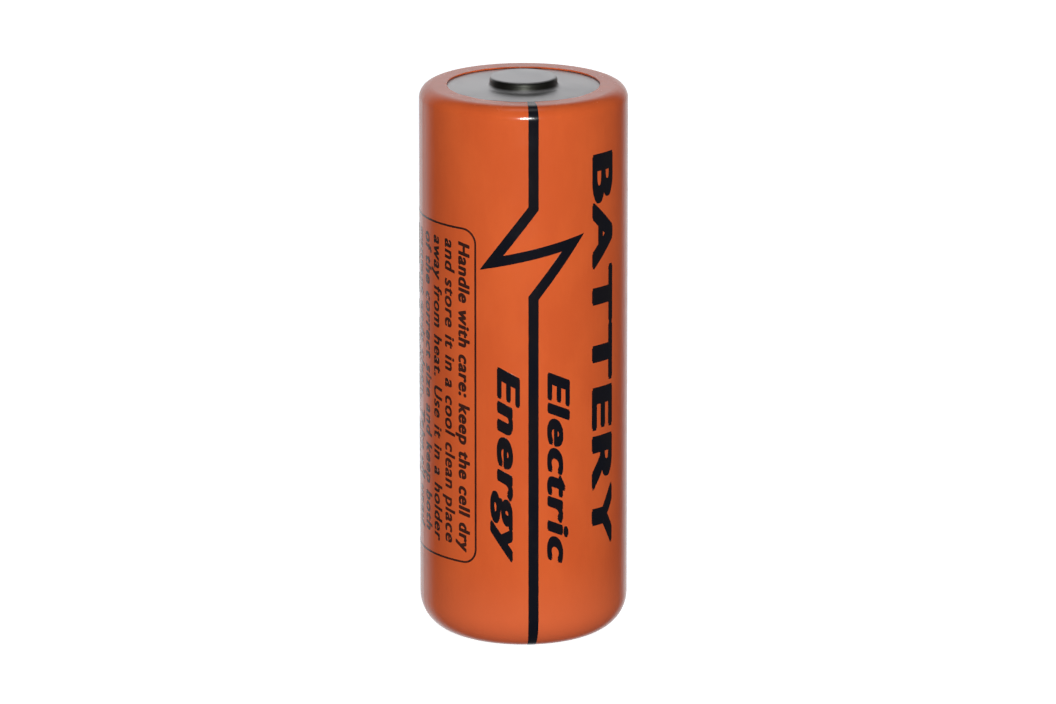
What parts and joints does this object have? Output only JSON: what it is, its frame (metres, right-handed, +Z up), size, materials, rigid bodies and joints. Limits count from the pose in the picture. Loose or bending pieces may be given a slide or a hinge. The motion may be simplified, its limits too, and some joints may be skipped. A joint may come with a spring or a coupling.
{
  "type": "cylindrical battery cell",
  "caption": "Upright cylindrical primary battery cell in a shrunk film sleeve, with a flat metal cap and a central contact nub on top and a bare metal contact face underneath.",
  "frame": {"origin": "centre of the face the cell stands on, which is the outer face of the sleeve's turned-in edge round the negative contact", "axes": "+Z up along the cell's axis to the positive nub; X and Y across it, with -Y towards the front of the printed sleeve"},
  "size_m": [0.0185, 0.0184, 0.0505],
  "materials": {
    "sleeve_film": "glossy orange shrunk film",
    "nickel_plate": "satin nickel plate",
    "spacer_plastic": "moulded, off-white",
    "fibre_board": "pressed fibre board",
    "lid_steel": "pressed stainless steel",
    "seal_glass": "fused green-grey glass",
    "tube_steel": "drawn steel tube",
    "ball_steel": "polished ball",
    "plug_steel": "stamped disc",
    "can_steel": "deep-drawn, nickel plated",
    "lithium_foil": "soft rolled foil",
    "separator_paper": "glass-fibre paper",
    "carbon": "porous carbon bound with plastic",
    "mesh_nickel": "expanded nickel mesh",
    "tab_nickel": "rolled nickel strip",
    "insulator_plastic": "punched plastic sheet",
    "electrolyte": "pale yellow liquid"
  },
  "bodies": {
    "root": {"shrink_sleeve": "sleeve_film", "positive_cap": "nickel_plate", "cap_spacer": "spacer_plastic", "lid_board": "fibre_board", "lid": "lid_steel", "glass_seal": "seal_glass", "terminal_tube": "tube_steel", "fill_ball": "ball_steel", "tube_plug": "plug_steel", "cell_can": "can_steel", "lithium_anode": "lithium_foil", "separator_tube": "separator_paper", "separator_cup": "separator_paper", "core_washer": "separator_paper", "carbon_cathode": "carbon", "collector_mesh": "mesh_nickel", "collector_tab": "tab_nickel", "top_insulator": "insulator_plastic", "electrolyte": "electrolyte"}
  },
  "joints": []
}
